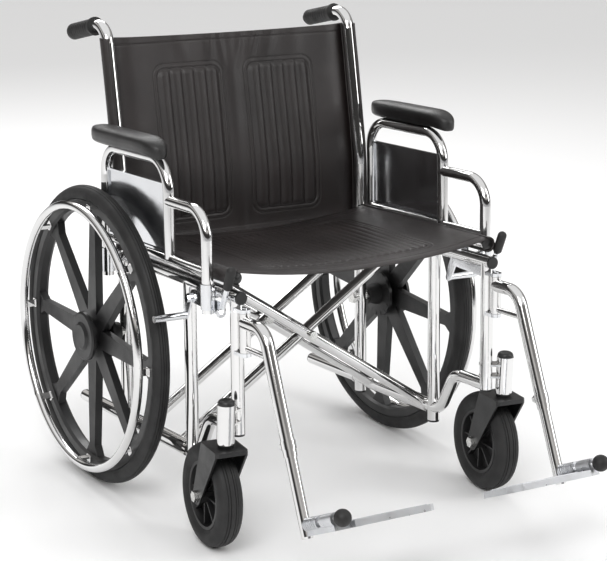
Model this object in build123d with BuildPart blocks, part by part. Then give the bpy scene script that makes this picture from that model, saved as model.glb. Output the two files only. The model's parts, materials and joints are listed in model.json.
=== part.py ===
"""Extra-wide folding manual wheelchair with mag wheels, full desk arms and swing-away footrests.

Units are millimetres. +X is the user's left, -Y is forward, +Z is up, and the floor is Z = 0.
The side frames are drawn level, with Y from the rear axle, and are then tipped back by FRAME_TILT.
"""
from build123d import *
import os

os.makedirs("parts", exist_ok=True)

# ---------------------------------------------------------------- driving dimensions
HALF = 286.0  # centre plane of each side frame
AXLE_Y = 270.9  # rear axle, back from the origin
AXLE_Z = 305.0  # rear axle height
FRAME_TILT = 4.0  # the side frames lean back, in degrees

TUBE = 25.4  # frame tube
WALL = 2.0
WELD_GAP = 0.05  # between a coped tube end and the tube that it meets
FIT = 0.05  # running clearance, on the radius

TOP_RAIL_Z = 461.0
LOW_RAIL_Z = 120.0
SEAT_RAIL_Z = 496.0
POST_FOOT_Z = 92.0
MID_POST_Y = -280.0
FRONT_POST_Y = -462.0
FRONT_POST_FOOT_Z = 200.0
RAIL_FRONT_Y = -478.0
TAIL_Y = 202.0  # rear end of the tipping lever
KINK_Y = (-306.0, -358.0)  # where the lower rail climbs
KINK_Z = 208.0
CANE_BEND_Z = 612.0
HANDLE_CORNER = (51.5, 926.0)  # back, up
HANDLE_END = (206.0, 898.5)

WHEEL_X = 355.0
WHEEL_R = 305.0
TYRE_HALF = 17.0
RIM_R = 279.0
RIM_DEPTH = 22.0
RIM_HALF = 14.0
SPOKES = 8
HUB_R = 30.0
HUB_FLANGE_R = 50.0
HUB_IN = -52.0  # hub faces, outboard from the wheel's centre plane
HUB_OUT = 33.0
AXLE_R = 7.95
HANDRIM_X = 394.0
HANDRIM_R = 268.0
HANDRIM_TUBE = 9.0

STEM_X = 321.0  # caster stem
STEM_Y = AXLE_Y - 481.0
CASTER_TURN = 5.5  # the casters trail a little to the user's left, in degrees
CASTER_R = 101.6
CASTER_HALF = 25.0
TRAIL = 57.0
CROWN_Z = 207.0
CROWN = 9.0
HOUSING = (223.0, 299.0)
HOUSING_R = 17.0
HOUSING_WALL = 3.0
STEM_R = 6.35
CASTER_AXLE_R = 6.0

ARM_X = HALF + 32
ARM_TUBE = 22.0
ARM_REAR_Y = 6.0
ARM_FRONT_Y = -264.0
ARM_STEP_Y = -411.0
ARM_TOP_Z = 689.0
ARM_STEP_Z = 614.0
ARM_BAR_Z = 503.0
ARM_FOOT_Z = 424.0
PAD_X = ARM_X + 15

HINGE_Y = -492.0  # hanger pivot
HANGER_Z = 418.0
LEG_TOP = (-563.6, 418.0)  # corner of the hanger tube
LEG_LEAN = 22.0  # degrees forward of the posts
LEG_TUBE = 22.0
LEG_FOOT = 376.0  # along the leg, from its top corner
ROD_ALONG = 356.0  # footplate pivot, along the leg
PLATE_REACH = 205.0

SEAT_RAIL = 22.2
BRACE = 22.2
BRACE_Y = {"a": (-250.0, -54.0), "b": (-226.0, -78.0)}
SLEEVE_OUT = 16.0
SIDES = (("right", -1), ("left", 1))

# ---------------------------------------------------------------- places on the tipped frame
ACROSS = Vector(1, 0, 0)
BACK = Vector(0, 1, 0).rotate(Axis.X, -FRAME_TILT)
UP = Vector(0, 0, 1).rotate(Axis.X, -FRAME_TILT)
LEG_DOWN = Vector(0, 0, -1).rotate(Axis.X, -FRAME_TILT - LEG_LEAN)
LEG_AHEAD = Vector(0, -1, 0).rotate(Axis.X, -FRAME_TILT - LEG_LEAN)


def on_frame(x, y, z):
    """A point of the level frame, tipped back about the rear axle."""
    level = Vector(x, y, z - AXLE_Z)
    return level.rotate(Axis.X, -FRAME_TILT) + Vector(0, AXLE_Y, AXLE_Z)


def side_plane(x, y, z):
    """Faces +X, and its own axes are back and up."""
    return Plane(origin=on_frame(x, y, z), x_dir=BACK, z_dir=ACROSS)


def deck_plane(x, y, z):
    """Faces up the posts, and its own axes are across and back."""
    return Plane(origin=on_frame(x, y, z), x_dir=ACROSS, z_dir=UP)


def end_plane(x, y, z):
    """Faces forward along the rails, and its own axes are across and up."""
    return Plane(origin=on_frame(x, y, z), x_dir=ACROSS, z_dir=-BACK)


def leg_point(s, along, ahead=0.0):
    """A point along the sloping footrest leg, from its top corner."""
    return on_frame(s * HALF, *LEG_TOP) + LEG_DOWN * along + LEG_AHEAD * ahead


def tube(points, outer, wall, bend=None, copes=()):
    """A bent tube, cut to sit against each (plane, radius) in copes."""
    with BuildPart() as piece:
        with BuildLine() as path:
            if bend is None:
                Line(*points)
            else:
                FilletPolyline(*points, radius=bend)
        with BuildSketch(Plane(origin=path.line @ 0, z_dir=path.line % 0)):
            Circle(outer / 2)
            Circle(outer / 2 - wall, mode=Mode.SUBTRACT)
        sweep(path=path.line)
        for plane, radius in copes:
            with BuildSketch(plane):
                Circle(radius)
            extrude(amount=60, both=True, mode=Mode.SUBTRACT)
    return piece


def save(piece, label):
    piece.part.label = label
    export_step(piece.part, f"parts/{label}.step")


# ---------------------------------------------------------------- side frames
COPE = TUBE / 2 + WELD_GAP
LOCK_X = HALF + 16.0  # inner face of the wheel-lock plate
LOCK_PLATE = 3.0
LEVER_PIVOT = (-440.0, 428.0)
SHOE_PIVOT = (-318.0, 434.0)
SHOE = (-302.0, 398.0)
SOCKET_R = 13.5


def rear_post(s):
    """Rear post, back cane and push handle in one bent tube, bored for the axle bolt."""
    x = s * HALF
    points = [
        on_frame(x, 0, POST_FOOT_Z),
        on_frame(x, 0, CANE_BEND_Z),
        on_frame(x, *HANDLE_CORNER),
        on_frame(x, *HANDLE_END),
    ]
    return tube(points, TUBE, WALL, bend=[160, 40], copes=[(side_plane(x, 0, AXLE_Z), AXLE_R + FIT)])


def handle_axis(s):
    corner = on_frame(s * HALF, *HANDLE_CORNER)
    end = on_frame(s * HALF, *HANDLE_END)
    return end, (end - corner).normalized()


def grip(s):
    """Ribbed push-handle grip, open at the front and closed at the back."""
    end, along = handle_axis(s)
    length, radius, ribs = 108.0, 17.0, 9
    plane = Plane(origin=end, x_dir=along, z_dir=ACROSS)
    with BuildPart() as piece:
        with BuildSketch(plane):
            with BuildLine():
                Polyline(
                    (-length, TUBE / 2 + 0.1), (-length, radius + 2), (-length + 5, radius + 2),
                    (-length + 8, radius), (-4, radius), (6, radius - 5), (6, 0), (1, 0),
                    (1, TUBE / 2 + 0.1), (-length, TUBE / 2 + 0.1),
                )
            make_face()
            for i in range(ribs):
                with Locations((-length + 16 + 9.5 * i, radius)):
                    Rectangle(3.2, 1.4, mode=Mode.SUBTRACT)
        revolve(axis=Axis(end, along))
    return piece


def top_rail(s):
    x = s * HALF
    post = (deck_plane(x, 0, TOP_RAIL_Z), COPE)
    return tube([on_frame(x, 0, TOP_RAIL_Z), on_frame(x, RAIL_FRONT_Y, TOP_RAIL_Z)], TUBE, WALL, copes=[post])


def lower_rail(s):
    """Lower side rail, with the climb to the front post, and the tipping lever behind a weld bead."""
    x = s * HALF
    points = [
        on_frame(x, TAIL_Y, LOW_RAIL_Z),
        on_frame(x, KINK_Y[0], LOW_RAIL_Z),
        on_frame(x, KINK_Y[1], KINK_Z),
        on_frame(x, FRONT_POST_Y, KINK_Z),
    ]
    posts = [(deck_plane(x, y, LOW_RAIL_Z), COPE) for y in (0, MID_POST_Y)]
    posts.append((deck_plane(x, FRONT_POST_Y, KINK_Z), COPE))
    bead_start, bead_end, bead_rise = 13.5, 18.0, 1.5
    with BuildPart() as piece:
        add(tube(points, TUBE, WALL, bend=[45, 40], copes=posts).part)
        with BuildSketch(Plane(origin=on_frame(x, bead_start, LOW_RAIL_Z), z_dir=BACK)):
            Circle(TUBE / 2 + bead_rise)
            Circle(TUBE / 2 - WALL / 2, mode=Mode.SUBTRACT)
        extrude(amount=bead_end - bead_start)
    return piece


def side_posts(s):
    """Middle and front posts, coped to the underside of the top rail."""
    x = s * HALF
    with BuildPart() as piece:
        for y, foot in ((MID_POST_Y, POST_FOOT_Z), (FRONT_POST_Y, FRONT_POST_FOOT_Z)):
            with BuildSketch(deck_plane(x, y, foot)):
                Circle(TUBE / 2)
                Circle(TUBE / 2 - WALL, mode=Mode.SUBTRACT)
            extrude(amount=TOP_RAIL_Z - foot)
        with BuildSketch(end_plane(x, MID_POST_Y, TOP_RAIL_Z)):
            Circle(COPE)
        extrude(amount=400, both=True, mode=Mode.SUBTRACT)
    return piece


def end_plugs(s):
    """Push-in plastic end plugs of the rails and posts, and the domed cap of the caster housing."""
    x = s * HALF
    depth, lip, slope = 14.0, 4.0, 14.0
    skirt, cap_height, dome = 3.0, 10.0, 8.0
    ends = (
        (TAIL_Y, LOW_RAIL_Z, BACK),
        (RAIL_FRONT_Y, TOP_RAIL_Z, -BACK),
        (0, POST_FOOT_Z, -UP),
        (MID_POST_Y, POST_FOOT_Z, -UP),
        (FRONT_POST_Y, FRONT_POST_FOOT_Z, -UP),
    )
    with BuildPart() as piece:
        with BuildSketch(Plane(origin=(s * STEM_X, STEM_Y, HOUSING[1]))):
            Circle(HOUSING_R - 1)
        extrude(amount=cap_height)
        fillet(piece.edges().sort_by(Axis.Z)[-1], dome)
        with BuildSketch(Plane(origin=(s * STEM_X, STEM_Y, HOUSING[1] - skirt))):
            Circle(HOUSING_R - HOUSING_WALL - 2 * FIT)
        extrude(amount=skirt)
        for y, z, outward in ends:
            mouth = Plane(origin=on_frame(x, y, z), z_dir=outward)
            with BuildSketch(mouth):
                Circle(TUBE / 2 - WALL - FIT)
            extrude(amount=-depth)
            with BuildSketch(mouth):
                Circle(TUBE / 2)
            extrude(amount=lip, taper=slope)
    return piece


def frame_brackets(s):
    """Arm sockets, seat-rail saddles, hanger hinge lugs and pin, and the wheel-lock plate."""
    x = s * HALF
    bridge_x = s * (HALF + 15.6)
    lug, lug_z, pin_r = 7.0, (358.0, 440.0), 5.0
    with BuildPart() as piece:
        for y, low, high in ((ARM_REAR_Y, 432, 480), (ARM_STEP_Y, 432, 480)):
            with BuildSketch(deck_plane(s * ARM_X, y, low)):
                Circle(SOCKET_R)
                Circle(ARM_TUBE / 2 + FIT, mode=Mode.SUBTRACT)
            extrude(amount=high - low)
        blocks = [(bridge_x, y, 452, 5.6, 12, 18) for y in (ARM_REAR_Y, ARM_STEP_Y)]
        blocks += [(x, y, 469, 18, 34, 18) for y in (-110, -370)]
        blocks += [(s * (HALF + 14.3), y, 450, 3.3, 16, 10) for y in (-345, -395)]
        for block_x, y, z, width, depth, height in blocks:
            with BuildSketch(deck_plane(block_x, y, z)):
                Rectangle(width, depth)
            extrude(amount=height)
        for z in lug_z:
            with BuildSketch(deck_plane(x, FRONT_POST_Y, z - lug / 2)):
                with Locations((0, HINGE_Y - FRONT_POST_Y)):
                    Circle(11)
                Circle(11)
                make_hull()
            extrude(amount=lug)
        with BuildSketch(side_plane(s * LOCK_X, 0, 0)):
            with Locations((-438, 434), (-330, 440)):
                Circle(13)
            make_hull()
        extrude(amount=LOCK_PLATE * s)
        for plane, radius in (
            (end_plane(x, MID_POST_Y, TOP_RAIL_Z), COPE),
            (end_plane(x, MID_POST_Y, SEAT_RAIL_Z), SEAT_RAIL / 2 + 0.3),
        ):
            with BuildSketch(plane):
                Circle(radius)
            extrude(amount=400, both=True, mode=Mode.SUBTRACT)
        for y, radius in ((0, COPE), (FRONT_POST_Y, COPE)):
            with BuildSketch(deck_plane(x, y, 300)):
                Circle(radius)
            extrude(amount=300, mode=Mode.SUBTRACT)
        with BuildSketch(deck_plane(x, HINGE_Y, lug_z[0] - 6)):
            Circle(pin_r)
        extrude(amount=lug_z[1] - lug_z[0] + 12)
    return piece


def axle_bolt(s):
    """Rear axle bolt with its head, saddle washer, spacer and lock nut."""
    x = s * HALF
    head, nut, shaft_out = (-25.0, 9.0), (79.5, 9.0), 89.0
    with BuildPart() as piece:
        for offset, thick, radius in ((-16.0, 8.0, 12.0), (8.0, 8.8, 11.0)):
            with BuildSketch(side_plane(x + s * offset, 0, AXLE_Z)):
                Circle(radius)
            extrude(amount=thick * s)
        with BuildSketch(deck_plane(x, 0, AXLE_Z)):
            Circle(COPE)
        extrude(amount=30, both=True, mode=Mode.SUBTRACT)
        for offset, thick in (head, nut):
            with BuildSketch(side_plane(x + s * offset, 0, AXLE_Z)):
                RegularPolygon(12, 6, major_radius=False)
            extrude(amount=thick * s)
        with BuildSketch(side_plane(x + s * head[0], 0, AXLE_Z)):
            Circle(AXLE_R)
        extrude(amount=(shaft_out - head[0]) * s)
    return piece


# ---------------------------------------------------------------- rear wheels
def wheel_plane(s, out):
    """Upright plane of a rear wheel, out from its centre plane."""
    return Plane(origin=(s * (WHEEL_X + out), AXLE_Y, AXLE_Z), x_dir=(0, 1, 0), z_dir=(s, 0, 0))


def wheel_section(s):
    """Holds a rear wheel's section: its own axes are outboard and away from the axle."""
    return Plane(origin=(s * WHEEL_X, AXLE_Y, AXLE_Z), x_dir=(s, 0, 0), z_dir=(0, -s, 0))


WHEEL_AXIS = Axis((0, AXLE_Y, AXLE_Z), (1, 0, 0))


def rear_wheel(s):
    """Moulded wheel: hub with two flanges, eight tapered spokes and a channelled rim."""
    rim_in = RIM_R - RIM_DEPTH
    root, tip, thick = 21.0, 12.0, 16.0
    with BuildPart() as piece:
        with BuildSketch(wheel_plane(s, -thick / 2)):
            with BuildLine() as outline:
                Polyline(
                    (-root, 14), (-tip, rim_in - 22), (-tip - 16, rim_in + 3), (0, rim_in + 6),
                    (tip + 16, rim_in + 3), (tip, rim_in - 22), (root, 14), (-root, 14),
                )
            spoke = make_face(outline.edges(), mode=Mode.PRIVATE)
            for i in range(SPOKES):
                add(spoke.rotate(Axis.Z, 360 / SPOKES * i))
        extrude(amount=thick)
        with BuildSketch(wheel_section(s)):
            with BuildLine():
                Polyline(
                    (-RIM_HALF, rim_in + 4), (-8, rim_in), (8, rim_in), (RIM_HALF, rim_in + 4),
                    (RIM_HALF, RIM_R - 2), (RIM_HALF - 4, RIM_R - 2), (RIM_HALF - 6, RIM_R - 8),
                    (-RIM_HALF + 6, RIM_R - 8), (-RIM_HALF + 4, RIM_R - 2), (-RIM_HALF, RIM_R - 2),
                    (-RIM_HALF, rim_in + 4),
                )
            make_face()
        revolve(axis=WHEEL_AXIS)
        with BuildSketch(wheel_section(s)):
            with BuildLine():
                Polyline(
                    (HUB_IN, 0), (HUB_IN, 19), (-27, 24), (-25, HUB_FLANGE_R), (-18, HUB_FLANGE_R),
                    (-14, HUB_R), (16, HUB_R), (22, HUB_FLANGE_R), (28, HUB_FLANGE_R),
                    (31, HUB_FLANGE_R - 4), (31, 30), (HUB_OUT + 3, 24), (HUB_OUT + 3, 0), (HUB_IN, 0),
                )
            make_face()
        revolve(axis=WHEEL_AXIS)
        with BuildSketch(wheel_plane(s, -26)):
            with PolarLocations(36, 16):
                Rectangle(24, 2.4)
        extrude(amount=10)
        for out, depth, radius in ((HUB_IN - 1, 70, AXLE_R + FIT), (9.0, 12.0, 14.5)):
            with BuildSketch(wheel_plane(s, out)):
                Circle(radius)
            extrude(amount=depth, mode=Mode.SUBTRACT)
    return piece


def rear_tyre(s):
    """Solid tyre with a ribbed tread, seated in the rim's channel."""
    flank = RIM_R - 1.5
    with BuildPart() as piece:
        with BuildSketch(wheel_section(s)):
            with BuildLine():
                Polyline((-RIM_HALF + 6, RIM_R - 7.9), (RIM_HALF - 6, RIM_R - 7.9), (RIM_HALF - 4, flank))
                Line((RIM_HALF - 4, flank), (TYRE_HALF - 2, flank + 1))
                ThreePointArc((TYRE_HALF - 2, flank + 1), (TYRE_HALF, RIM_R + 11), (TYRE_HALF - 5, WHEEL_R - 5))
                ThreePointArc((TYRE_HALF - 5, WHEEL_R - 5), (0, WHEEL_R), (-TYRE_HALF + 5, WHEEL_R - 5))
                ThreePointArc((-TYRE_HALF + 5, WHEEL_R - 5), (-TYRE_HALF, RIM_R + 11), (-TYRE_HALF + 2, flank + 1))
                Line((-TYRE_HALF + 2, flank + 1), (-RIM_HALF + 4, flank))
                Line((-RIM_HALF + 4, flank), (-RIM_HALF + 6, RIM_R - 7.9))
            make_face()
            for x in (-7.5, -2.5, 2.5, 7.5):
                with Locations((x, WHEEL_R)):
                    Rectangle(1.4, 5.0, mode=Mode.SUBTRACT)
        revolve(axis=WHEEL_AXIS)
    return piece


def handrim(s):
    """Tubular handrim on eight small brackets that bolt to the rim."""
    out = HANDRIM_X - WHEEL_X
    bracket_r = RIM_R - 12
    with BuildPart() as piece:
        with BuildSketch(wheel_section(s)):
            with Locations((out, HANDRIM_R)):
                Circle(HANDRIM_TUBE)
        revolve(axis=WHEEL_AXIS)
        with BuildSketch(wheel_plane(s, RIM_HALF + 0.1)):
            with PolarLocations(bracket_r - 3, SPOKES):
                RectangleRounded(16, 18, 4)
        extrude(amount=2.5)
        with BuildSketch(wheel_plane(s, RIM_HALF + 0.1)):
            with PolarLocations(HANDRIM_R - 6, SPOKES):
                Rectangle(4, 14)
        extrude(amount=out - RIM_HALF - 5)
    return piece


# ---------------------------------------------------------------- casters
CASTER_ACROSS = ACROSS.rotate(Axis.Z, -CASTER_TURN)
CASTER_BACK = Vector(0, 1, 0).rotate(Axis.Z, -CASTER_TURN)


def caster_deck(s, z):
    """Level plane on the caster's stem, with axes across and back along the fork."""
    return Plane(origin=(s * STEM_X, STEM_Y, z), x_dir=CASTER_ACROSS, z_dir=(0, 0, 1))


def caster_side(s, out):
    """Upright plane beside the caster, with axes back from the stem and up from the floor."""
    origin = Vector(s * STEM_X, STEM_Y, 0) + CASTER_ACROSS * out
    return Plane(origin=origin, x_dir=CASTER_BACK, z_dir=CASTER_ACROSS)


def caster_section(s):
    """Holds the caster wheel's section: axes across and up, centred on its axle."""
    origin = Vector(s * STEM_X, STEM_Y, CASTER_R) + CASTER_BACK * TRAIL
    return Plane(origin=origin, x_dir=CASTER_ACROSS, z_dir=-CASTER_BACK)


def caster_axis(s):
    return Axis(caster_section(s).origin, CASTER_ACROSS)


def caster_housing(s):
    """Upright stem housing with its two bearings, welded to the front post by two plates."""
    stem = Vector(s * STEM_X, STEM_Y, 0)
    bearing, plate, plate_end = 9.0, 4.0, 13.0
    with BuildPart() as piece:
        for z in (257.0, 281.0):
            post = on_frame(s * HALF, FRONT_POST_Y, z)
            with BuildSketch(Plane.XY.offset(z)):
                with Locations((post.X, post.Y), (stem.X, stem.Y)):
                    Circle(plate_end)
                make_hull()
            extrude(amount=plate)
        with BuildSketch(deck_plane(s * HALF, FRONT_POST_Y, 180)):
            Circle(COPE)
        extrude(amount=160, mode=Mode.SUBTRACT)
        with BuildSketch(Plane.XY.offset(HOUSING[0])):
            with Locations((stem.X, stem.Y)):
                Circle(HOUSING_R)
        extrude(amount=HOUSING[1] - HOUSING[0])
        with BuildSketch(Plane.XY.offset(HOUSING[0])):
            with Locations((stem.X, stem.Y)):
                Circle(HOUSING_R - HOUSING_WALL)
        extrude(amount=HOUSING[1] - HOUSING[0], mode=Mode.SUBTRACT)
        for z in (HOUSING[0], HOUSING[1] - 12 - bearing):
            with BuildSketch(Plane.XY.offset(z)):
                with Locations((stem.X, stem.Y)):
                    Circle(HOUSING_R - HOUSING_WALL)
                    Circle(STEM_R + FIT, mode=Mode.SUBTRACT)
            extrude(amount=bearing)
    return piece


def caster_fork(s):
    """Wide fork: crown, two plate legs, and the stem with its lock nut."""
    leg_in, leg = 29.0, 4.0
    nut_z = HOUSING[1] - 11.5
    with BuildPart() as piece:
        with BuildSketch(caster_deck(s, CROWN_Z)):
            with Locations((0, 6)):
                RectangleRounded(2 * (leg_in + leg), 76, 7)
        extrude(amount=CROWN)
        for out in (-leg_in - leg, leg_in):
            with BuildSketch(caster_side(s, out)):
                with Locations((TRAIL, CASTER_R)):
                    Circle(17)
                with Locations((6, CROWN_Z + 2)):
                    Rectangle(68, 8)
                make_hull()
            extrude(amount=leg)
        with BuildSketch(caster_deck(s, CROWN_Z + 2)):
            Circle(15)
        extrude(amount=HOUSING[0] - 0.4 - CROWN_Z - 2)
        with BuildSketch(caster_deck(s, CROWN_Z + 2)):
            Circle(STEM_R)
        extrude(amount=nut_z + 6 - CROWN_Z - 2)
        with BuildSketch(caster_deck(s, nut_z)):
            RegularPolygon(9.5, 6, major_radius=False)
        extrude(amount=8)
        with BuildSketch(caster_side(s, -leg_in - leg - 1)):
            with Locations((TRAIL, CASTER_R)):
                Circle(CASTER_AXLE_R)
        extrude(amount=2 * (leg_in + leg) + 2, mode=Mode.SUBTRACT)
    return piece


def caster_axle(s):
    """Axle bolt with its head and lock nut outside the fork legs."""
    half = 33.2
    with BuildPart() as piece:
        with BuildSketch(caster_side(s, -half - 6)):
            with Locations((TRAIL, CASTER_R)):
                Circle(CASTER_AXLE_R)
        extrude(amount=2 * half + 14)
        for out, thick in ((-half - 7, 7.0), (half, 8.0)):
            with BuildSketch(caster_side(s, out)):
                with Locations((TRAIL, CASTER_R)):
                    RegularPolygon(9.5, 6, major_radius=False)
            extrude(amount=thick)
    return piece


def caster_wheel(s):
    """Moulded caster wheel: hub, dished web with ribs, and rim."""
    with BuildPart() as piece:
        with BuildSketch(caster_section(s)):
            with BuildLine():
                Polyline(
                    (-28, CASTER_AXLE_R + FIT), (-28, 14), (-6, 16), (-4, 56), (-20, 60), (-20, 66),
                    (20, 66), (20, 60), (4, 56), (6, 16), (28, 14), (28, CASTER_AXLE_R + FIT),
                    (-28, CASTER_AXLE_R + FIT),
                )
            make_face()
        revolve(axis=caster_axis(s))
        with BuildSketch(caster_side(s, -16)):
            with Locations((TRAIL, CASTER_R)):
                with PolarLocations(36, 8):
                    Rectangle(44, 3)
        extrude(amount=32)
    return piece


def caster_tyre(s):
    """Semi-pneumatic caster tyre with a ribbed tread."""
    half, base = CASTER_HALF, 66.1
    with BuildPart() as piece:
        with BuildSketch(caster_section(s)):
            with BuildLine():
                Polyline((-half + 6, base), (half - 6, base))
                Line((half - 6, base), (half - 1, base + 8))
                ThreePointArc((half - 1, base + 8), (half, 86), (half - 8, CASTER_R - 4))
                ThreePointArc((half - 8, CASTER_R - 4), (0, CASTER_R), (-half + 8, CASTER_R - 4))
                ThreePointArc((-half + 8, CASTER_R - 4), (-half, 86), (-half + 1, base + 8))
                Line((-half + 1, base + 8), (-half + 6, base))
            make_face()
            for x in (-10, -5, 5, 10):
                with Locations((x, CASTER_R)):
                    Rectangle(1.4, 5.0, mode=Mode.SUBTRACT)
        revolve(axis=caster_axis(s))
    return piece


# ---------------------------------------------------------------- armrests
def armrest_frame(s):
    """Full loop of the armrest, its stepped front leg and the bar that ties the legs."""
    x, radius = s * ARM_X, ARM_TUBE / 2
    loop = [
        on_frame(x, ARM_REAR_Y, ARM_FOOT_Z),
        on_frame(x, ARM_REAR_Y, ARM_TOP_Z),
        on_frame(x, ARM_FRONT_Y, ARM_TOP_Z),
        on_frame(x, ARM_FRONT_Y, ARM_BAR_Z),
    ]
    step = [
        on_frame(x, ARM_FRONT_Y, ARM_STEP_Z),
        on_frame(x, ARM_STEP_Y, ARM_STEP_Z),
        on_frame(x, ARM_STEP_Y, ARM_FOOT_Z),
    ]
    bar = [on_frame(x, ARM_REAR_Y, ARM_BAR_Z), on_frame(x, ARM_STEP_Y, ARM_BAR_Z)]
    legs = [(deck_plane(x, y, ARM_BAR_Z), radius + WELD_GAP) for y in (ARM_REAR_Y, ARM_STEP_Y)]
    front = (deck_plane(x, ARM_FRONT_Y, ARM_STEP_Z), radius + WELD_GAP)
    bar_piece = tube(bar, 16.0, 1.5, copes=legs)
    step_piece = tube(step, ARM_TUBE, 1.6, bend=52, copes=[front])
    loop_piece = tube(loop, ARM_TUBE, 1.6, bend=58, copes=[(end_plane(x, -200, ARM_BAR_Z), 8.05)])
    with BuildPart() as piece:
        add(loop_piece.part)
        add(step_piece.part)
        add(bar_piece.part)
    return piece


def arm_pad(s):
    """Padded arm top with its base, bolted on the arm's top bar."""
    length, width, depth = 282.0, 52.0, 30.0
    middle = (ARM_REAR_Y + ARM_FRONT_Y) / 2 + 7
    with BuildPart() as piece:
        with BuildSketch(deck_plane(s * PAD_X, middle, ARM_TOP_Z + ARM_TUBE / 2 + 0.5)):
            RectangleRounded(width, length, 25)
        extrude(amount=depth)
        fillet(piece.faces().sort_by(Axis.Z)[-1].edges(), 9)
    return piece


def side_panel(s):
    """Polished sheet guard inside the arm loop, with folded edges."""
    x, gap = s * ARM_X, ARM_TUBE / 2 + 2.6
    rear, front = ARM_REAR_Y - gap, ARM_FRONT_Y + gap
    low, high = ARM_BAR_Z + 9, 646.0
    with BuildPart() as piece:
        with BuildSketch(side_plane(x - 0.7, 0, 0)):
            with Locations(((rear + front) / 2, (low + high) / 2)):
                Rectangle(rear - front, high - low)
        extrude(amount=1.4)
        with BuildSketch(side_plane(x - 4, 0, 0)):
            with Locations(((rear + front) / 2, high - 2), ((rear + front) / 2, low + 2)):
                Rectangle(rear - front, 4)
            with Locations((rear - 2, (low + high) / 2), (front + 2, (low + high) / 2)):
                Rectangle(4, high - low)
        extrude(amount=8)
    return piece


# ---------------------------------------------------------------- wheel locks
LEVER_TIP = (-476.0, 500.0)
LEVER_THICK = 3.4
LEVER_X = LOCK_X + LOCK_PLATE + 0.3  # inner face of the lever and the shoe's arm


def lever_outline(s):
    """The lever's flat outline, ready to extrude outboard."""
    with BuildSketch(side_plane(s * LEVER_X, 0, 0)) as outline:
        with Locations(LEVER_PIVOT):
            Circle(8.5)
        with Locations(LEVER_TIP):
            Circle(4.5)
        make_hull()
    return outline.sketch


def lock_lever(s):
    """Flat wheel-lock lever with its pivot bolt."""
    with BuildPart() as piece:
        extrude(lever_outline(s), amount=LEVER_THICK * s)
        with BuildSketch(side_plane(s * LEVER_X, 0, 0)):
            with Locations(LEVER_PIVOT):
                RegularPolygon(6.5, 6, major_radius=False)
        extrude(amount=8 * s)
    return piece


def lock_grip(s):
    """Round-ended vinyl grip pushed over the tip of the wheel-lock lever."""
    x = s * (LEVER_X + LEVER_THICK / 2)
    foot, head, radius = on_frame(x, -468, 484), on_frame(x, -482, 514), 9.0
    with BuildPart() as piece:
        with BuildSketch(Plane(origin=foot, z_dir=head - foot)):
            Circle(radius)
        extrude(amount=(head - foot).length)
        with Locations(foot, head):
            Sphere(radius)
        extrude(lever_outline(s), amount=LEVER_THICK * s, mode=Mode.SUBTRACT)
    return piece


def lock_shoe(s):
    """Wheel-lock arm with the round bar that presses the tyre."""
    x = s * LEVER_X
    with BuildPart() as piece:
        with BuildSketch(side_plane(x, 0, 0)):
            with Locations(SHOE_PIVOT):
                Circle(10)
            with Locations(SHOE):
                Circle(8)
            make_hull()
        extrude(amount=4 * s)
        with BuildSketch(side_plane(x, 0, 0)):
            with Locations(SHOE_PIVOT):
                RegularPolygon(6.5, 6, major_radius=False)
        extrude(amount=9 * s)
        with BuildSketch(side_plane(x, 0, 0)):
            with Locations(SHOE):
                Circle(7)
        extrude(amount=(WHEEL_X + TYRE_HALF + 3 - abs(x)) * s)
    return piece


# ---------------------------------------------------------------- footrests
def hanger(s):
    """Swing-away hanger: hinge sleeve, bent tube, lower strut and the leg clamp."""
    x = s * HALF
    outer, low, high = 10.5, 362.0, 436.0
    clamp = 232.0
    strut_z, strut_along = 370.0, 52.0
    tube_piece = tube(
        [on_frame(x, HINGE_Y, HANGER_Z), on_frame(x, *LEG_TOP), leg_point(s, clamp)],
        TUBE, (TUBE - LEG_TUBE) / 2 - FIT, bend=42, copes=[(deck_plane(x, HINGE_Y, HANGER_Z), outer)],
    )
    strut = tube(
        [on_frame(x, HINGE_Y, strut_z), leg_point(s, strut_along)], 11.0, 1.5,
        copes=[(deck_plane(x, HINGE_Y, strut_z), outer),
               (Plane(origin=leg_point(s, strut_along), z_dir=LEG_DOWN), COPE)],
    )
    with BuildPart() as piece:
        with BuildSketch(deck_plane(x, HINGE_Y, low)):
            Circle(outer)
            Circle(5 + FIT, mode=Mode.SUBTRACT)
        extrude(amount=high - low)
        add(tube_piece.part)
        add(strut.part)
        with BuildSketch(Plane(origin=leg_point(s, clamp - 30), z_dir=LEG_DOWN)):
            Circle(COPE + 1.2)
            Circle(COPE, mode=Mode.SUBTRACT)
        extrude(amount=16)
        with BuildSketch(Plane(origin=leg_point(s, clamp - 22, -COPE - 2), z_dir=-LEG_AHEAD)):
            RegularPolygon(6.5, 6, major_radius=False)
        extrude(amount=9)
    return piece


ROD_R = 6.0
ROD_START, ROD_END = LEG_TUBE / 2 - 0.5, 126.5  # ahead of the leg's own axis


def leg_tube(s):
    """Sliding leg tube with its end plug, and the rod that the footplate folds on."""
    start = 140.0
    with BuildPart() as piece:
        with BuildSketch(Plane(origin=leg_point(s, start), z_dir=LEG_DOWN)):
            Circle(LEG_TUBE / 2)
            Circle(LEG_TUBE / 2 - 1.8, mode=Mode.SUBTRACT)
        extrude(amount=LEG_FOOT - start)
        with BuildSketch(Plane(origin=leg_point(s, LEG_FOOT), z_dir=LEG_DOWN)):
            Circle(LEG_TUBE / 2)
        extrude(amount=4, taper=12)
        with BuildSketch(Plane(origin=leg_point(s, ROD_ALONG, ROD_START), z_dir=LEG_AHEAD)):
            Circle(ROD_R)
        extrude(amount=ROD_END - ROD_START)
    return piece


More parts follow.
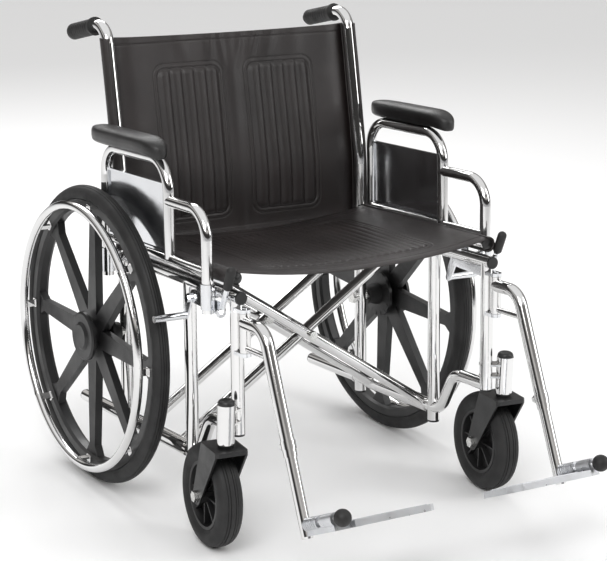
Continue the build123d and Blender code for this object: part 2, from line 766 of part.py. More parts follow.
def leg_bumper(s):
    """Rubber ball pushed onto the end of the footplate rod."""
    radius = 16.0
    with BuildPart() as piece:
        with Locations(leg_point(s, ROD_ALONG, ROD_END + radius / 2)):
            Sphere(radius)
        with BuildSketch(Plane(origin=leg_point(s, ROD_ALONG, ROD_START), z_dir=LEG_AHEAD)):
            Circle(ROD_R + FIT)
        extrude(amount=ROD_END + FIT - ROD_START, mode=Mode.SUBTRACT)
    return piece


def footplate(s):
    """Cast footplate with a skirt and tread ribs, on two pivot barrels, the near one ringed with grooves."""
    barrel = 13.0
    near, near_end, far_start, far = LEG_TUBE / 2 + 2, 60.0, 72.0, 114.0
    thick, drop, skirt, wall = 5.0, 13.0, 7.0, 4.0
    rear, front = 18.0, 132.0
    rings, ring_pitch, ring_width, ring_depth = 6, 7.0, 2.6, 1.3
    ribs, rib_pitch, rib_height = 7, 13.0, 1.2
    with BuildPart() as piece:
        for start, end in ((near, near_end), (far_start, far)):
            with BuildSketch(Plane(origin=leg_point(s, ROD_ALONG, start), z_dir=LEG_AHEAD)):
                Circle(barrel)
            extrude(amount=end - start)
        for i in range(rings):
            with BuildSketch(Plane(origin=leg_point(s, ROD_ALONG, near + 4 + ring_pitch * i), z_dir=LEG_AHEAD)):
                Circle(barrel + 1)
                Circle(barrel - ring_depth, mode=Mode.SUBTRACT)
            extrude(amount=ring_width, mode=Mode.SUBTRACT)
        deck = Plane(origin=leg_point(s, ROD_ALONG + drop), x_dir=(-s, 0, 0), z_dir=LEG_DOWN)
        ahead = (deck.to_local_coords(leg_point(s, ROD_ALONG + drop, 1.0))).Y
        with BuildSketch(deck) as outline:
            with BuildLine():
                Polyline(
                    (-8, ahead * rear), (PLATE_REACH - 22, ahead * rear), (PLATE_REACH, ahead * (rear + 16)),
                    (PLATE_REACH, ahead * (front - 24)), (PLATE_REACH - 22, ahead * front),
                    (24, ahead * front), (24, ahead * far), (-8, ahead * far), (-8, ahead * rear),
                )
            make_face()
        extrude(amount=-thick)
        with BuildSketch(deck):
            add(outline.sketch_local)
            offset(outline.sketch_local, amount=-wall, mode=Mode.SUBTRACT)
        extrude(amount=skirt)
        with BuildSketch(deck.offset(-thick)):
            for i in range(ribs):
                with Locations((PLATE_REACH / 2 + 12, ahead * (rear + 17 + rib_pitch * i))):
                    SlotOverall(PLATE_REACH - 58, 3)
        extrude(amount=-rib_height)
        with BuildSketch(Plane(origin=leg_point(s, ROD_ALONG, near - 5), z_dir=LEG_AHEAD)):
            Circle(ROD_R + FIT)
        extrude(amount=far, mode=Mode.SUBTRACT)
    return piece


# ---------------------------------------------------------------- cross-brace and seat
CENTRE_Z = (LOW_RAIL_Z + SEAT_RAIL_Z) / 2


def brace_arms(name, low_side):
    """One half of the double cross-brace: sleeve on a lower rail and two slanting arms."""
    bolt_r = 5.0
    low, high = low_side * HALF, -low_side * HALF
    sleeve_ends = (-262.0, -36.0)
    with BuildPart() as piece:
        for y in BRACE_Y[name]:
            foot, head = on_frame(low, y, LOW_RAIL_Z), on_frame(high, y, SEAT_RAIL_Z)
            with BuildSketch(Plane(origin=foot, z_dir=head - foot)):
                Circle(BRACE / 2)
                Circle(BRACE / 2 - WALL, mode=Mode.SUBTRACT)
            extrude(amount=(head - foot).length)
        for x, z, radius in ((low, LOW_RAIL_Z, SLEEVE_OUT), (high, SEAT_RAIL_Z, SEAT_RAIL / 2 + WELD_GAP)):
            with BuildSketch(end_plane(x, 0, z)):
                Circle(radius)
            extrude(amount=500, mode=Mode.SUBTRACT)
        with BuildSketch(end_plane(low, sleeve_ends[1], LOW_RAIL_Z)):
            Circle(SLEEVE_OUT)
            Circle(TUBE / 2 + FIT, mode=Mode.SUBTRACT)
        extrude(amount=sleeve_ends[1] - sleeve_ends[0])
        with BuildSketch(end_plane(0, 0, CENTRE_Z)):
            Circle(bolt_r + FIT)
        extrude(amount=500, mode=Mode.SUBTRACT)
    return piece


def brace_bolts():
    """The two centre bolts of the cross-brace, with heads and lock nuts."""
    bolt_r = 5.0
    with BuildPart() as piece:
        for front, rear in ((BRACE_Y["a"][0], BRACE_Y["b"][0]), (BRACE_Y["b"][1], BRACE_Y["a"][1])):
            start, length = rear + 19, rear - front + 38
            with BuildSketch(end_plane(0, start, CENTRE_Z)):
                Circle(bolt_r)
            extrude(amount=length)
            for y in (rear + 19.5, front - 12.5):
                with BuildSketch(end_plane(0, y, CENTRE_Z)):
                    RegularPolygon(8.5, 6, major_radius=False)
                extrude(amount=7)
    return piece


def seat_rail(s):
    """Seat rail tube on top of the cross-brace, with its end plugs."""
    x, rear, front = s * HALF, -18.0, -455.0
    with BuildPart() as piece:
        with BuildSketch(end_plane(x, rear, SEAT_RAIL_Z)):
            Circle(SEAT_RAIL / 2)
            Circle(SEAT_RAIL / 2 - WALL, mode=Mode.SUBTRACT)
        extrude(amount=rear - front)
        for y, outward in ((rear, BACK), (front, -BACK)):
            with BuildSketch(Plane(origin=on_frame(x, y, SEAT_RAIL_Z), z_dir=outward)):
                Circle(SEAT_RAIL / 2)
            extrude(amount=4, taper=12)
    return piece


def seat_sling():
    """Seat upholstery, slung between the two seat rails and sagging in the middle."""
    edge, sag, thick = HALF - 2, 26.0, 7.0
    low = SEAT_RAIL / 2 + 0.5
    high = low + thick
    with BuildPart() as piece:
        with BuildSketch(end_plane(0, -14, SEAT_RAIL_Z)):
            with BuildLine():
                ThreePointArc((-edge, low), (0, low - sag), (edge, low))
                Line((edge, low), (edge, high))
                ThreePointArc((edge, high), (0, high - sag), (-edge, high))
                Line((-edge, high), (-edge, low))
            make_face()
        extrude(amount=452)
    return piece


def back_sling():
    """Back upholstery, slung between the two canes from the seat to just under the handles."""
    low, high, half_thick = 482.0, 895.0, 3.0
    lean = HANDLE_CORNER[0] / (HANDLE_CORNER[1] - CANE_BEND_Z)
    top_back = (high - CANE_BEND_Z) * lean
    with BuildPart() as piece:
        with BuildSketch(side_plane(0, 0, 0)):
            with BuildLine():
                Polyline(
                    (-half_thick, low), (-half_thick, CANE_BEND_Z), (top_back - half_thick, high),
                    (top_back + half_thick, high), (half_thick, CANE_BEND_Z), (half_thick, low),
                    (-half_thick, low),
                )
            make_face()
        extrude(amount=HALF - TUBE / 2 - 0.6, both=True)
    return piece


# ---------------------------------------------------------------- build and write every piece
SIDE_PIECES = (
    rear_post, grip, top_rail, lower_rail, side_posts, end_plugs, frame_brackets, axle_bolt,
    rear_wheel, rear_tyre, handrim, caster_housing, caster_fork, caster_axle, caster_wheel,
    caster_tyre, armrest_frame, arm_pad, side_panel, lock_lever, lock_grip, lock_shoe,
    hanger, leg_tube, leg_bumper, footplate, seat_rail,
)
for side, sign in SIDES:
    for make in SIDE_PIECES:
        save(make(sign), f"{make.__name__}_{side}")
save(brace_arms("a", 1), "cross_brace_a")
save(brace_arms("b", -1), "cross_brace_b")
save(brace_bolts(), "brace_bolts")
save(seat_sling(), "seat_sling")
save(back_sling(), "back_sling")
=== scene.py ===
"""Looks for the extra-wide folding wheelchair: camera, light, materials and the soft and moulded pieces.

Units are metres. +X is the user's left, -Y is forward, +Z is up. The chair's side frames lean back a little,
so most positions are written level, with y from the rear axle, and place() tips them onto the frame.
"""
import json
import math
import bpy
import numpy as np
from mathutils import Matrix, Vector, noise


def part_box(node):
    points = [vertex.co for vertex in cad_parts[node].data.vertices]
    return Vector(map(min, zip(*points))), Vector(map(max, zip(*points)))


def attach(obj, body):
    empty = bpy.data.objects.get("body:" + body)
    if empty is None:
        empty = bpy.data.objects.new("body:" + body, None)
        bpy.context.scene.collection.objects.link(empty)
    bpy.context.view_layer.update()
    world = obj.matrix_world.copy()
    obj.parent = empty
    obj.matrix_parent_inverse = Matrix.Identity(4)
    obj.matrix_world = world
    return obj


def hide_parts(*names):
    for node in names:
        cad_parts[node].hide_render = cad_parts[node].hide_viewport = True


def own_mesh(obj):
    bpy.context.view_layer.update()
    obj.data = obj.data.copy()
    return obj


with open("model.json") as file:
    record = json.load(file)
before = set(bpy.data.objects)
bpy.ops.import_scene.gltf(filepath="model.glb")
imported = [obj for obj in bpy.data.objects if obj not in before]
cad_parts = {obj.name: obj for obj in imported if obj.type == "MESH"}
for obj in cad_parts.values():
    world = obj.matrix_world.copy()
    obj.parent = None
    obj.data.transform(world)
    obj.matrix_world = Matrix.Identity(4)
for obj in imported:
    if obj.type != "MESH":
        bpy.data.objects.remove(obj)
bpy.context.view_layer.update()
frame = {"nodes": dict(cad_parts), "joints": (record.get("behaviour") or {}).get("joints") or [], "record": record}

# ---------------------------------------------------------------- places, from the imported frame
JOINT = {joint["name"]: joint for joint in frame["joints"]}
HALF = -JOINT["fold"]["pos_m"][0]
AXLE_Y, AXLE_Z = JOINT["wheel_spin_right"]["pos_m"][1:]
TILT = math.atan2(JOINT["fold"]["axis"][2], -JOINT["fold"]["axis"][1])
SIDES = (("right", -1), ("left", 1))
TUBE_R = 0.0127


def place(x, y, z):
    """A point of the level frame, tipped back about the rear axle."""
    c, s = math.cos(TILT), math.sin(TILT)
    return Vector((x, c * y + s * (z - AXLE_Z) + AXLE_Y, AXLE_Z - s * y + c * (z - AXLE_Z)))


# ---------------------------------------------------------------- camera, floor and light
def make_camera():
    """Front right view from above the handles, turned slightly on its own axis."""
    yaw, pitch, roll = (math.radians(degrees) for degrees in (31.89, 15.67, 1.63))
    eye = Vector((-2.0437, AXLE_Y - 3.5068, 1.5163))
    look = Vector((math.sin(yaw) * math.cos(pitch), math.cos(yaw) * math.cos(pitch), -math.sin(pitch)))
    level = look.cross(Vector((0, 0, 1))).normalized()
    above = level.cross(look)
    right = level * math.cos(roll) + above * math.sin(roll)
    up = above * math.cos(roll) - level * math.sin(roll)
    data = bpy.data.cameras.new("camera")
    data.sensor_width = 36.0
    data.lens = 118.4
    camera = bpy.data.objects.new("camera", data)
    bpy.context.scene.collection.objects.link(camera)
    camera.matrix_world = Matrix(
        (
            (right.x, up.x, -look.x, eye.x),
            (right.y, up.y, -look.y, eye.y),
            (right.z, up.z, -look.z, eye.z),
            (0, 0, 0, 1),
        )
    )
    bpy.context.scene.camera = camera


def area_light(name, at, aim, size, energy):
    data = bpy.data.lights.new(name, "AREA")
    data.shape = "RECTANGLE"
    data.size, data.size_y = size
    data.energy = energy
    lamp = bpy.data.objects.new(name, data)
    bpy.context.scene.collection.objects.link(lamp)
    lamp.location = at
    lamp.rotation_euler = (Vector(aim) - Vector(at)).to_track_quat("-Z", "Y").to_euler()


def make_studio():
    """Pale floor, a soft sky with dark bands low down for the plating to reflect, and three soft boxes."""
    bpy.context.scene.view_settings.view_transform = "Standard"
    world = bpy.data.worlds.new("studio")
    bpy.context.scene.world = world
    world.use_nodes = True
    tree = world.node_tree
    sky = tree.nodes["Background"]
    coord = tree.nodes.new("ShaderNodeTexCoord")
    split = tree.nodes.new("ShaderNodeSeparateXYZ")
    ramp = tree.nodes.new("ShaderNodeValToRGB")
    tree.links.new(coord.outputs["Generated"], split.inputs[0])
    tree.links.new(split.outputs["Z"], ramp.inputs[0])
    tree.links.new(ramp.outputs[0], sky.inputs["Color"])
    stops = ramp.color_ramp.elements
    stops[0].position, stops[0].color = 0.0, (0.55, 0.55, 0.56, 1)
    stops[1].position, stops[1].color = 0.70, (1.0, 1.0, 1.0, 1)
    for at, level in ((0.06, 0.035), (0.26, 0.05), (0.40, 0.75), (0.50, 0.16)):
        stops.new(at).color = (level, level * 0.97, level * 0.94, 1)
    sky.inputs["Strength"].default_value = 0.95

    half = 9.0
    mesh = bpy.data.meshes.new("floor")
    corners = [(-half, -half, 0), (half, -half, 0), (half, half, 0), (-half, half, 0)]
    mesh.from_pydata(corners, [], [(0, 1, 2, 3)])
    floor = bpy.data.objects.new("floor", mesh)
    bpy.context.scene.collection.objects.link(floor)
    finish = bpy.data.materials.new("floor")
    finish.use_nodes = True
    shader = finish.node_tree.nodes["Principled BSDF"]
    shader.inputs["Base Color"].default_value = (0.97, 0.97, 0.97, 1)
    shader.inputs["Roughness"].default_value = 0.85
    mesh.materials.append(finish)

    area_light("key", (-2.6, -2.4, 3.2), (0, 0, 0.5), (2.2, 2.2), 85)
    area_light("fill", (3.0, -2.2, 2.2), (0, 0, 0.5), (1.6, 2.4), 45)
    area_light("back", (0.5, 3.2, 2.8), (0, 0, 0.6), (3.0, 1.4), 60)


# ---------------------------------------------------------------- materials
class Finish:
    """A Principled material with short helpers for its colour and bump nodes, in object coordinates."""

    def __init__(self, name, color, rough, metal=0.0):
        self.mat = bpy.data.materials.new(name)
        self.mat.use_nodes = True
        self.tree = self.mat.node_tree
        self.shader = self.tree.nodes["Principled BSDF"]
        self.coord = self.tree.nodes.new("ShaderNodeTexCoord").outputs["Object"]
        self.height = None
        self.set("Base Color", (*color, 1))
        self.set("Roughness", rough)
        self.set("Metallic", metal)

    def set(self, socket, value):
        self.shader.inputs[socket].default_value = value

    def node(self, kind, **sockets):
        made = self.tree.nodes.new(kind)
        for name, value in sockets.items():
            made.inputs[name.replace("_", " ")].default_value = value
        return made

    def stretched(self, scale):
        mapping = self.node("ShaderNodeMapping")
        mapping.inputs["Scale"].default_value = scale
        self.tree.links.new(self.coord, mapping.inputs["Vector"])
        return mapping.outputs[0]

    def noise(self, scale, detail=3.0, roughness=0.55, stretch=None):
        made = self.node("ShaderNodeTexNoise", Scale=scale, Detail=detail, Roughness=roughness)
        self.tree.links.new(self.stretched(stretch) if stretch else self.coord, made.inputs["Vector"])
        return made.outputs["Fac"]

    def cells(self, scale, feature="F1", stretch=None):
        made = self.node("ShaderNodeTexVoronoi", Scale=scale)
        made.feature = feature
        self.tree.links.new(self.stretched(stretch) if stretch else self.coord, made.inputs["Vector"])
        return made.outputs["Distance"]

    def remap(self, value, low, high, to_low, to_high):
        made = self.node("ShaderNodeMapRange")
        for place_in, number in zip((1, 2, 3, 4), (low, high, to_low, to_high)):
            made.inputs[place_in].default_value = number
        self.tree.links.new(value, made.inputs[0])
        return made.outputs[0]

    def mixed(self, value, low, high):
        """Colour that runs from low to high with value."""
        ramp = self.node("ShaderNodeValToRGB")
        ramp.color_ramp.elements[0].color = (*low, 1)
        ramp.color_ramp.elements[1].color = (*high, 1)
        ramp.color_ramp.elements[0].position = 0.3
        ramp.color_ramp.elements[1].position = 0.7
        self.tree.links.new(value, ramp.inputs[0])
        self.tree.links.new(ramp.outputs[0], self.shader.inputs["Base Color"])
        return self

    def rough_by(self, value, low, high):
        self.tree.links.new(self.remap(value, 0.3, 0.7, low, high), self.shader.inputs["Roughness"])
        return self

    def bump(self, value, strength, distance):
        made = self.node("ShaderNodeBump", Strength=strength, Distance=distance)
        self.tree.links.new(value, made.inputs["Height"])
        if self.height is not None:
            self.tree.links.new(self.height, made.inputs["Normal"])
        self.height = made.outputs[0]
        self.tree.links.new(self.height, self.shader.inputs["Normal"])
        return self


def chrome():
    made = Finish("chrome", (0.74, 0.74, 0.74), 0.05, 1.0)
    made.rough_by(made.noise(9.0, 5.0), 0.025, 0.08)
    made.mixed(made.noise(2.5, 2.0), (0.70, 0.695, 0.69), (0.79, 0.79, 0.79))
    return made.bump(made.noise(26.0, 2.0), 0.05, 0.002)


def polished_steel():
    made = Finish("polished_steel", (0.78, 0.79, 0.81), 0.12, 1.0)
    made.rough_by(made.noise(14.0, 4.0), 0.07, 0.2)
    made.mixed(made.noise(4.0, 2.0), (0.70, 0.71, 0.73), (0.82, 0.83, 0.85))
    return made.bump(made.noise(60.0, 3.0, stretch=(1, 0.08, 1)), 0.08, 0.001)


def plated():
    made = Finish("plated_fastener", (0.70, 0.70, 0.69), 0.22, 1.0)
    made.rough_by(made.noise(120.0, 3.0), 0.14, 0.34)
    made.mixed(made.noise(60.0, 2.0), (0.60, 0.60, 0.58), (0.78, 0.78, 0.77))
    return made.bump(made.noise(420.0, 3.0), 0.1, 0.0005)


def cast_aluminium():
    made = Finish("cast_aluminium", (0.62, 0.63, 0.65), 0.34, 1.0)
    made.rough_by(made.noise(55.0, 4.0), 0.24, 0.46)
    made.mixed(made.noise(11.0, 3.0), (0.56, 0.57, 0.59), (0.72, 0.73, 0.75))
    return made.bump(made.noise(650.0, 4.0), 0.22, 0.0006)


def black_coat():
    made = Finish("black_powder_coat", (0.014, 0.014, 0.015), 0.36)
    made.set("Specular IOR Level", 0.5)
    made.rough_by(made.noise(30.0, 4.0), 0.28, 0.46)
    made.mixed(made.noise(8.0, 3.0), (0.007, 0.007, 0.0075), (0.014, 0.014, 0.0145))
    return made.bump(made.noise(900.0, 2.0), 0.18, 0.0006)


def wheel_plastic():
    made = Finish("moulded_nylon", (0.013, 0.013, 0.014), 0.42)
    made.rough_by(made.noise(18.0, 4.0), 0.32, 0.52)
    made.mixed(made.noise(5.0, 3.0), (0.006, 0.006, 0.0065), (0.014, 0.0135, 0.014))
    return made.bump(made.noise(700.0, 3.0), 0.14, 0.0006)


def tyre_rubber():
    made = Finish("tyre_rubber", (0.022, 0.022, 0.023), 0.66)
    made.rough_by(made.noise(24.0, 4.0), 0.55, 0.78)
    made.mixed(made.noise(16.0, 5.0), (0.008, 0.008, 0.0085), (0.020, 0.0195, 0.0195))
    return made.bump(made.noise(480.0, 4.0), 0.22, 0.0009)


def grip_rubber():
    made = Finish("grip_rubber", (0.016, 0.015, 0.016), 0.58)
    made.rough_by(made.noise(40.0, 4.0), 0.46, 0.7)
    made.mixed(made.noise(30.0, 4.0), (0.007, 0.007, 0.007), (0.016, 0.015, 0.015))
    return made.bump(made.noise(620.0, 3.0), 0.2, 0.0008)


def plug_plastic():
    made = Finish("plug_plastic", (0.012, 0.012, 0.012), 0.4)
    made.rough_by(made.noise(60.0, 3.0), 0.3, 0.5)
    made.mixed(made.noise(40.0, 3.0), (0.009, 0.009, 0.009), (0.02, 0.02, 0.02))
    return made.bump(made.noise(800.0, 2.0), 0.12, 0.0005)


def vinyl(name, low, high, rough):
    """Upholstery vinyl: fine leather grain, faint creases, and a soft clear coat."""
    made = Finish(name, high, sum(rough) / 2)
    made.set("Specular IOR Level", 0.5)
    made.set("Coat Weight", 0.12)
    made.set("Coat Roughness", 0.35)
    made.rough_by(made.noise(14.0, 5.0), *rough)
    made.mixed(made.noise(6.5, 5.0, 0.6), low, high)
    made.bump(made.cells(950.0, "DISTANCE_TO_EDGE"), 0.35, 0.0009)
    return made.bump(made.noise(85.0, 4.0), 0.18, 0.0016)


make_camera()
make_studio()
SLING = vinyl("sling_vinyl", (0.010, 0.0075, 0.0072), (0.022, 0.0165, 0.016), (0.36, 0.50)).mat
PAD = vinyl("pad_vinyl", (0.006, 0.0055, 0.0055), (0.013, 0.012, 0.012), (0.32, 0.44)).mat
CHROME = chrome().mat
FINISHES = {
    "chrome_tube": CHROME,
    "polished_steel": polished_steel().mat,
    "fastener": plated().mat,
    "bracket": black_coat().mat,
    "fork_black": black_coat().mat,
    "wheel_plastic": wheel_plastic().mat,
    "tyre": tyre_rubber().mat,
    "grip_black": grip_rubber().mat,
    "plug_black": plug_plastic().mat,
    "pad_vinyl": PAD,
    "sling_vinyl": SLING,
    "cast_aluminium": cast_aluminium().mat,
}


def dress_frame():
    """Each carried-over CAD node gets its finish by its material slot."""
    for row in frame["record"]["subparts"]:
        node = frame["nodes"][row["node"]]
        node.data.materials.clear()
        node.data.materials.append(FINISHES[row["material_slot"]])


dress_frame()


# ---------------------------------------------------------------- mesh helpers
def new_piece(name, points, faces, finish, smooth=True):
    mesh = bpy.data.meshes.new(name)
    mesh.from_pydata([tuple(p) for p in points], [], faces)
    mesh.validate()
    if smooth:
        mesh.polygons.foreach_set("use_smooth", [True] * len(mesh.polygons))
    piece = bpy.data.objects.new(name, mesh)
    bpy.context.scene.collection.objects.link(piece)
    piece.data.materials.append(finish)
    return piece


def sheet_mesh(name, columns, rows, front, back, finish):
    """A thin closed piece: front(u, v) and back(u, v) give its two faces, with u and v from 0 to 1."""
    us, vs = np.linspace(0, 1, columns), np.linspace(0, 1, rows)
    points = [front(u, v) for v in vs for u in us] + [back(u, v) for v in vs for u in us]
    far = columns * rows
    faces = []
    for j in range(rows - 1):
        for i in range(columns - 1):
            a = j * columns + i
            faces.append((a, a + 1, a + columns + 1, a + columns))
            faces.append((far + a, far + a + columns, far + a + columns + 1, far + a + 1))
    edge = list(range(columns))
    edge += [j * columns + columns - 1 for j in range(1, rows)]
    edge += [(rows - 1) * columns + i for i in range(columns - 2, -1, -1)]
    edge += [j * columns for j in range(rows - 2, 0, -1)]
    for a, b in zip(edge, edge[1:] + edge[:1]):
        faces.append((b, a, far + a, far + b))
    return new_piece(name, points, faces, finish)


def ring_faces(rings, around):
    """Four-sided faces between closed rings of points."""
    faces = []
    for i in range(rings - 1):
        for k in range(around):
            a, b = i * around + k, i * around + (k + 1) % around
            faces.append((a, b, b + around, a + around))
    return faces


def box_distance(x, z, middle_x, middle_z, half_x, half_z, radius):
    """Distance outside a rounded rectangle, negative inside."""
    dx, dz = abs(x - middle_x) - half_x + radius, abs(z - middle_z) - half_z + radius
    return math.hypot(max(dx, 0), max(dz, 0)) + min(max(dx, dz), 0) - radius


def groove(distance, width):
    """1 in the middle of a sewn line, falling smoothly to 0."""
    return math.exp(-((distance / width) ** 2))


# ---------------------------------------------------------------- back upholstery
BACK_LOW, BACK_HIGH = 0.474, 0.897
CANE_BEND_Z = 0.612
CANE_LEAN = 51.5 / 314
PANEL_X = 0.107  # middle of each sewn panel
PANEL_HALF = 0.082
PANEL_Z = (0.514, 0.836)
CHANNELS = 5
CHANNEL_HALF = 0.071


# above the sewn panels: where, how it leans, how wide and how deep
FOLDS = (
    (-0.052, 0.10, 0.010, 0.0040),
    (-0.020, -0.12, 0.007, 0.0034),
    (0.012, 0.22, 0.009, 0.0040),
    (0.044, 0.35, 0.008, 0.0036),
    (0.082, 0.30, 0.012, 0.0034),
    (-0.110, -0.2, 0.016, 0.0020),
    (0.150, 0.15, 0.020, 0.0018),
)


def cane_y(z):
    bend = 0.035
    over = z - CANE_BEND_Z
    return CANE_LEAN * (over + math.sqrt(over * over + bend * bend)) / 2


def back_relief(x, z):
    """How far the back's front face stands proud of the plain sheet: channels, seams and soft folds."""
    side = -1 if x < 0 else 1
    middle_z = sum(PANEL_Z) / 2
    half_z = (PANEL_Z[1] - PANEL_Z[0]) / 2
    away = box_distance(x, z, side * PANEL_X, middle_z, PANEL_HALF, half_z, 0.024)
    inner = box_distance(x, z, side * PANEL_X, middle_z, PANEL_HALF - 0.009, half_z - 0.009, 0.017)
    relief = 0.0
    if inner < 0:
        t = (x - side * PANEL_X + CHANNEL_HALF) / (2 * CHANNEL_HALF) * CHANNELS
        t = abs(2 * (t - math.floor(t)) - 1)
        ends = min(1.0, -inner / 0.010)
        relief += 0.0060 * (1 - t**2.6) * ends**0.5
    elif away < 0:
        relief += 0.0010
    relief -= 0.0017 * groove(away, 0.0016) + 0.0019 * groove(inner, 0.0016)
    above = max(0.0, min(1.0, (z - PANEL_Z[1] + 0.02) / 0.05))
    for at, lean, width, depth in FOLDS:
        relief += depth * above * groove(x - at - lean * (z - PANEL_Z[1]), width)
    for at, width, depth in ((0.0, 0.012, 0.0030), (-0.238, 0.022, 0.0016), (0.236, 0.024, 0.0016)):
        relief += depth * groove(x - at, width) * (0.7 + 0.3 * math.sin(18 * z + 40 * at))
    relief += 0.0022 * noise.noise(Vector((x * 7, z * 5, 0.3)))
    relief += 0.0008 * noise.noise(Vector((x * 26, z * 14, 2.3)))
    hem = 0.016
    relief += 0.0009 if z > BACK_HIGH - hem or z < BACK_LOW + hem else 0.0
    relief -= 0.0012 * groove(z - BACK_HIGH + hem, 0.0016)
    return relief


def back_sheet_y(x, z):
    """Depth of the plain back sheet: it runs behind both canes and bows back a little between them."""
    behind = TUBE_R + 0.0035
    near_cane = groove(HALF - abs(x), 0.030)
    bow = 0.010 * (1 - (x / HALF) ** 2)
    return cane_y(z) + 0.002 + bow + near_cane * (behind - 0.002)


def make_back():
    half, thick = HALF - 0.004, 0.0028

    def spot(u, v):
        sag = 0.004 * (1 - (2 * u - 1) ** 2)
        return (2 * u - 1) * half, BACK_LOW + (BACK_HIGH - sag - BACK_LOW) * v

    def front(u, v):
        x, z = spot(u, v)
        return place(x, back_sheet_y(x, z) - back_relief(x, z) - thick / 2, z)

    def back(u, v):
        x, z = spot(u, v)
        return place(x, back_sheet_y(x, z) + thick / 2 + 0.25 * max(back_relief(x, z), 0), z)

    sheet = sheet_mesh("back_upholstery", 420, 230, front, back, SLING)
    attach(sheet, "right_frame")
    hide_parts("back_sling")
    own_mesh(sheet)


def make_back_sleeves():
    """The vinyl turned round behind each cane, with a hemmed edge."""
    start, sweep = math.radians(-70), math.radians(235)
    for side, s in SIDES:
        def skin(radius):
            def at(u, v):
                angle = start + sweep * u
                z = BACK_LOW + (BACK_HIGH - BACK_LOW) * v
                pinch = 0.0006 * noise.noise(Vector((angle * 2, z * 14, s * 3.0)))
                r = radius + pinch + 0.0008 * groove(u - 0.93, 0.02)
                return place(s * (HALF + r * math.sin(angle)), cane_y(z) + r * math.cos(angle), z)
            return at
        outer, inner = skin(TUBE_R + 0.0031), skin(TUBE_R + 0.0007)
        sleeve = sheet_mesh(f"back_sleeve_{side}", 40, 110, outer, inner, SLING)
        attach(sleeve, f"{side}_frame")


# ---------------------------------------------------------------- seat upholstery
SEAT_RAIL_Z = 0.496
SEAT_RAIL_R = 0.0111
SEAT_BACK, SEAT_FRONT = -0.016, -0.466
SEAT_SAG = 0.026
SEAT_PANEL = (0.200, 0.176)  # half sizes across and along


def seat_top(x, y):
    """Height of the seat's top face."""
    across = x / (HALF + 0.002)
    sag = SEAT_SAG * (1 - abs(across) ** 2.2)
    height = SEAT_RAIL_Z + SEAT_RAIL_R + 0.0045 - sag
    middle_y = (SEAT_BACK + SEAT_FRONT) / 2
    away = box_distance(x, y, 0, middle_y, *SEAT_PANEL, 0.03)
    inner = box_distance(x, y, 0, middle_y, SEAT_PANEL[0] - 0.01, SEAT_PANEL[1] - 0.01, 0.022)
    if inner < 0:
        pitch = 0.0165
        t = x / pitch + 0.5
        t = abs(2 * (t - math.floor(t)) - 1)
        height += 0.0028 * (1 - t**2.4) * min(1.0, -inner / 0.008) ** 0.5
    height -= 0.0014 * groove(away, 0.0017) + 0.0016 * groove(inner, 0.0017)
    hem, roll_over = 0.022, 0.012
    for edge in (SEAT_FRONT, SEAT_BACK):
        height -= 0.0013 * groove(abs(y - edge) - hem, 0.0016)
    front_drop = max(0.0, (SEAT_FRONT + roll_over - y) / roll_over)
    height -= 0.0035 * front_drop**2
    broad = 0.0025 * noise.noise(Vector((x * 6, y * 6, 1.7)))
    fine = 0.0008 * noise.noise(Vector((x * 22, y * 18, 5.1)))
    return height + (broad + fine)


def make_seat():
    half, thick = HALF - 0.001, 0.0045

    def spot(u, v):
        return (2 * u - 1) * half, SEAT_FRONT + (SEAT_BACK - SEAT_FRONT) * v

    def top(u, v):
        x, y = spot(u, v)
        return place(x, y, seat_top(x, y))

    def under(u, v):
        x, y = spot(u, v)
        sag = SEAT_SAG * (1 - abs(x / (HALF + 0.002)) ** 2.2)
        return place(x, y, SEAT_RAIL_Z + SEAT_RAIL_R + 0.0045 - sag - thick)

    seat = sheet_mesh("seat_upholstery", 420, 260, top, under, SLING)
    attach(seat, "seat")
    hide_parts("seat_sling")
    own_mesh(seat)


def make_seat_sleeves():
    """The seat's vinyl turned over each seat rail."""
    start, sweep = math.radians(-12), math.radians(212)
    for side, s in SIDES:
        def skin(radius):
            def at(u, v):
                angle = start + sweep * u
                y = SEAT_FRONT + (SEAT_BACK - SEAT_FRONT) * v
                r = radius + 0.0006 * noise.noise(Vector((angle * 2, y * 12, s * 5.0)))
                return place(s * (HALF + r * math.sin(angle)), y, SEAT_RAIL_Z + r * math.cos(angle))
            return at
        outer, inner = skin(SEAT_RAIL_R + 0.0044), skin(SEAT_RAIL_R + 0.0007)
        sleeve = sheet_mesh(f"seat_sleeve_{side}", 36, 110, outer, inner, SLING)
        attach(sleeve, "brace_a" if side == "right" else "brace_b")


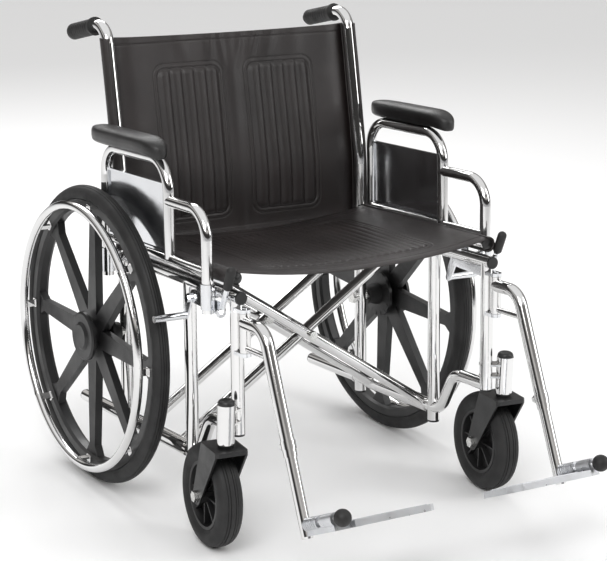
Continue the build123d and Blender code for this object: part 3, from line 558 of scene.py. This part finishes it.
def make_rail_caps():
    """A black push-in cap with a rolled lip and a domed face on the front end of each seat rail."""
    lip = SEAT_RAIL_R + 0.0002
    roll = lip + 0.0009
    outline = (
        (lip, 0.0),
        (roll, -0.0008),
        (roll, -0.0026),
        (lip, -0.0036),
        (lip * 0.8, -0.0052),
        (lip * 0.5, -0.0062),
        (lip * 0.12, -0.0066),
    )
    around = 48
    for side, s in SIDES:
        front = min(corner[1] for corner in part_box(f"seat_rail_{side}"))
        y_level = (front - AXLE_Y - math.sin(TILT) * (SEAT_RAIL_Z - AXLE_Z)) / math.cos(TILT)
        points = []
        for radius, y in outline:
            for k in range(around):
                angle = 2 * math.pi * k / around
                x, z = s * HALF + radius * math.cos(angle), SEAT_RAIL_Z + radius * math.sin(angle)
                points.append(place(x, y_level + y, z))
        faces = ring_faces(len(outline), around)
        faces.append(tuple(range(around)))
        faces.append(tuple((len(outline) - 1) * around + k for k in range(around))[::-1])
        cap = new_piece(f"seat_rail_cap_{side}", points, faces, FINISHES["plug_black"])
        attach(cap, "brace_a" if side == "right" else "brace_b")


# ---------------------------------------------------------------- arm pads
def make_arm_pad(side):
    """Crowned pad: rounded ends, a welt low on its side and a front that rolls down."""
    low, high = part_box(f"arm_pad_{side}")
    x_middle = ((low + high) / 2).x
    s = -1 if side == "right" else 1
    ends = (-0.264 - 0.006, 0.006 + 0.006)
    middle_z = 0.7005 + 0.0155
    half_w, pad_thick = 0.0268, 0.034
    roll_length, roll_drop = 0.055, 0.012
    length = ends[1] - ends[0]
    rings, around = 90, 56
    points = []
    for i in range(rings):
        y = ends[0] + length * (0.5 - 0.5 * math.cos(math.pi * i / (rings - 1)))
        swell = max(0.0, 1 - abs((y - (ends[0] + ends[1]) / 2) / (length / 2)) ** 6) ** 0.5
        width = half_w * max(swell, 0.02)
        thick = pad_thick * max(swell, 0.05) ** 0.5
        roll = roll_drop * max(0.0, (ends[0] + roll_length - y) / roll_length) ** 2
        for k in range(around):
            angle = 2 * math.pi * k / around
            c, sn = math.cos(angle), math.sin(angle)
            px = width * math.copysign(abs(c) ** 0.55, c)
            pz = thick / 2 * math.copysign(abs(sn) ** 0.62, sn)
            crown = 0.0028 * (1 - (px / half_w) ** 2) if sn > 0 else 0.0
            seam = 0.0009 * groove(pz + 0.006, 0.0012)
            px *= 1 - seam / half_w
            z = middle_z + pz + crown - roll
            px += 0.0005 * noise.noise(Vector((y * 30, px * 40, s)))
            points.append(place(x_middle + px, y, z))
    faces = ring_faces(rings, around)
    faces.append(tuple(range(around))[::-1])
    faces.append(tuple((rings - 1) * around + k for k in range(around)))
    pad = new_piece(f"arm_pad_cover_{side}", points, faces, PAD)
    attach(pad, f"armrest_{side}")
    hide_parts(f"arm_pad_{side}")


make_back()
make_back_sleeves()
make_seat()
make_seat_sleeves()
make_rail_caps()
for side, _ in SIDES:
    make_arm_pad(side)
